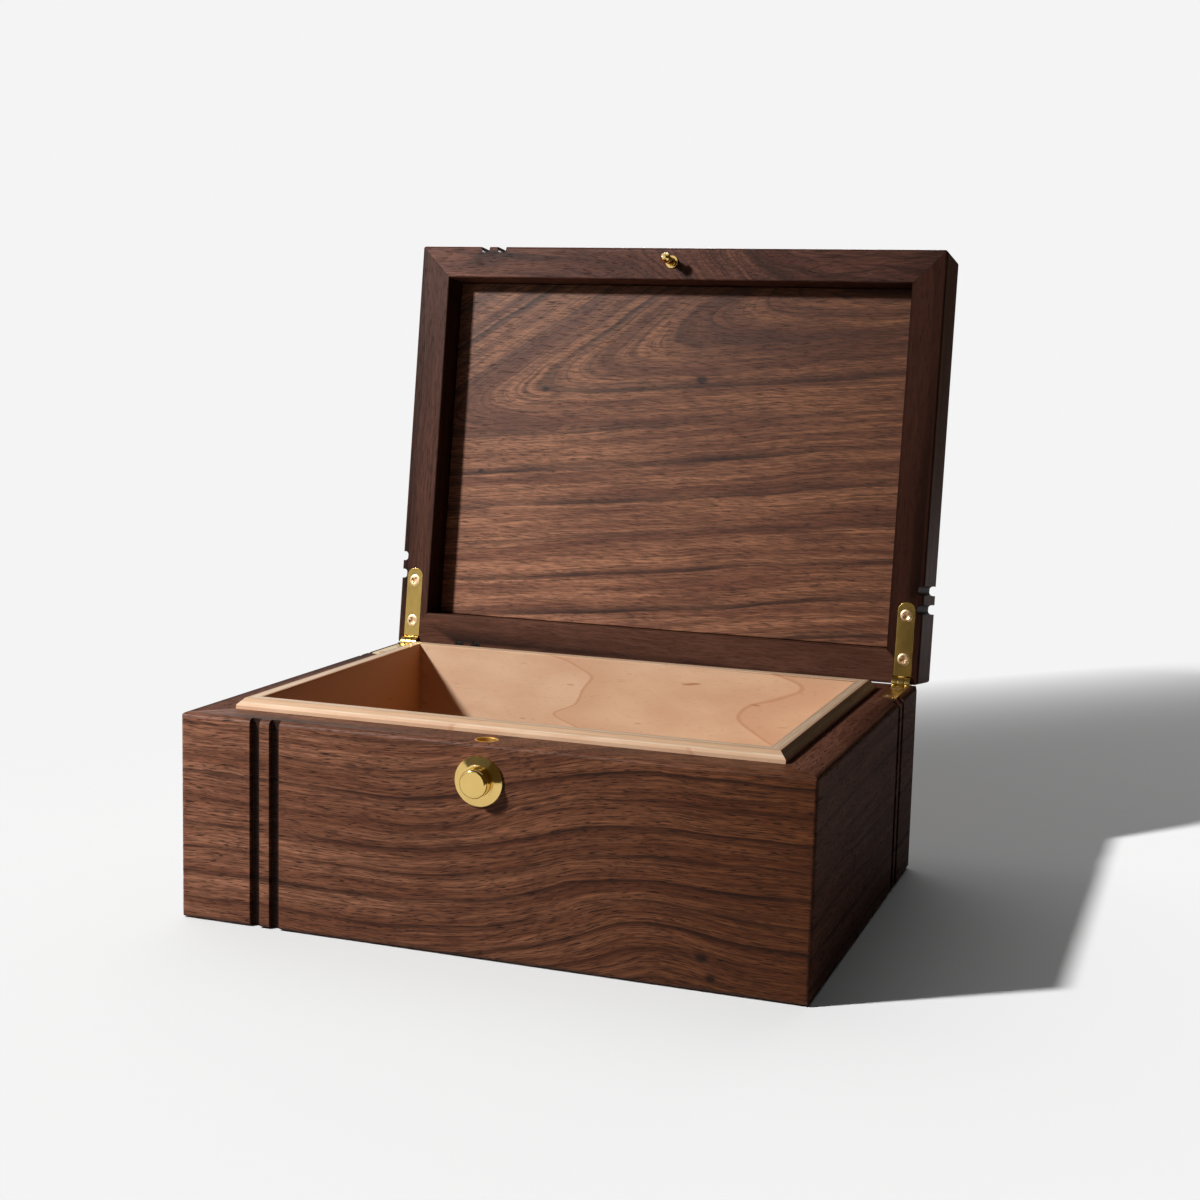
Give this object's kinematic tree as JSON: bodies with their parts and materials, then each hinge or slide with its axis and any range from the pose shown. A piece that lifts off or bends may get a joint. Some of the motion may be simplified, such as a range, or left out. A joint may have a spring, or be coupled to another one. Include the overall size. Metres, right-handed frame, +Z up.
{
  "type": "keepsake box",
  "caption": "Wooden keepsake box with mitred walnut walls, a maple liner proud of the rim, paired grooves, a framed lid on brass stop hinges and a push-button latch.",
  "frame": {"origin": "centre of the underside, on the surface that the box stands on", "axes": "+Z up, the front faces -Y, +X is to the right seen from the front"},
  "size_m": [0.254, 0.2561, 0.2736],
  "materials": {
    "walnut": "oiled, satin",
    "maple": "oiled, satin",
    "brass": "polished",
    "spring_steel": "drawn wire"
  },
  "bodies": {
    "base": {"base_front": "walnut", "base_back": "walnut", "base_left": "walnut", "base_right": "walnut", "bottom_panel": "maple", "liner_front": "maple", "liner_back": "maple", "liner_left": "maple", "liner_right": "maple", "left_hinge_base_leaf": "brass", "right_hinge_base_leaf": "brass", "left_hinge_pin": "brass", "right_hinge_pin": "brass", "base_hinge_screws": "brass", "latch_barrel": "brass", "latch_end_cap": "brass", "latch_bushing": "brass", "latch_spring": "spring_steel"},
    "lid": {"lid_front_rail": "walnut", "lid_back_rail": "walnut", "lid_left_rail": "walnut", "lid_right_rail": "walnut", "lid_panel": "walnut", "left_hinge_lid_leaf": "brass", "right_hinge_lid_leaf": "brass", "lid_hinge_screws": "brass", "catch_stud": "brass"},
    "button": {"latch_button": "brass", "latch_slide": "brass"}
  },
  "joints": [
    {"name": "lid_hinge", "type": "hinge", "parent": "base", "child": "lid", "pos_m": [0, 0.09625, 0.0828], "axis": [1, 0, 0], "range_deg": [0, 97.3]},
    {"name": "button_press", "type": "slide", "parent": "base", "child": "button", "axis": [0, 1, 0], "range_m": [0, 0.0025], "stiffness_N_per_m": 300, "springref_m": -0.004, "deforming": ["latch_spring"]}
  ]
}
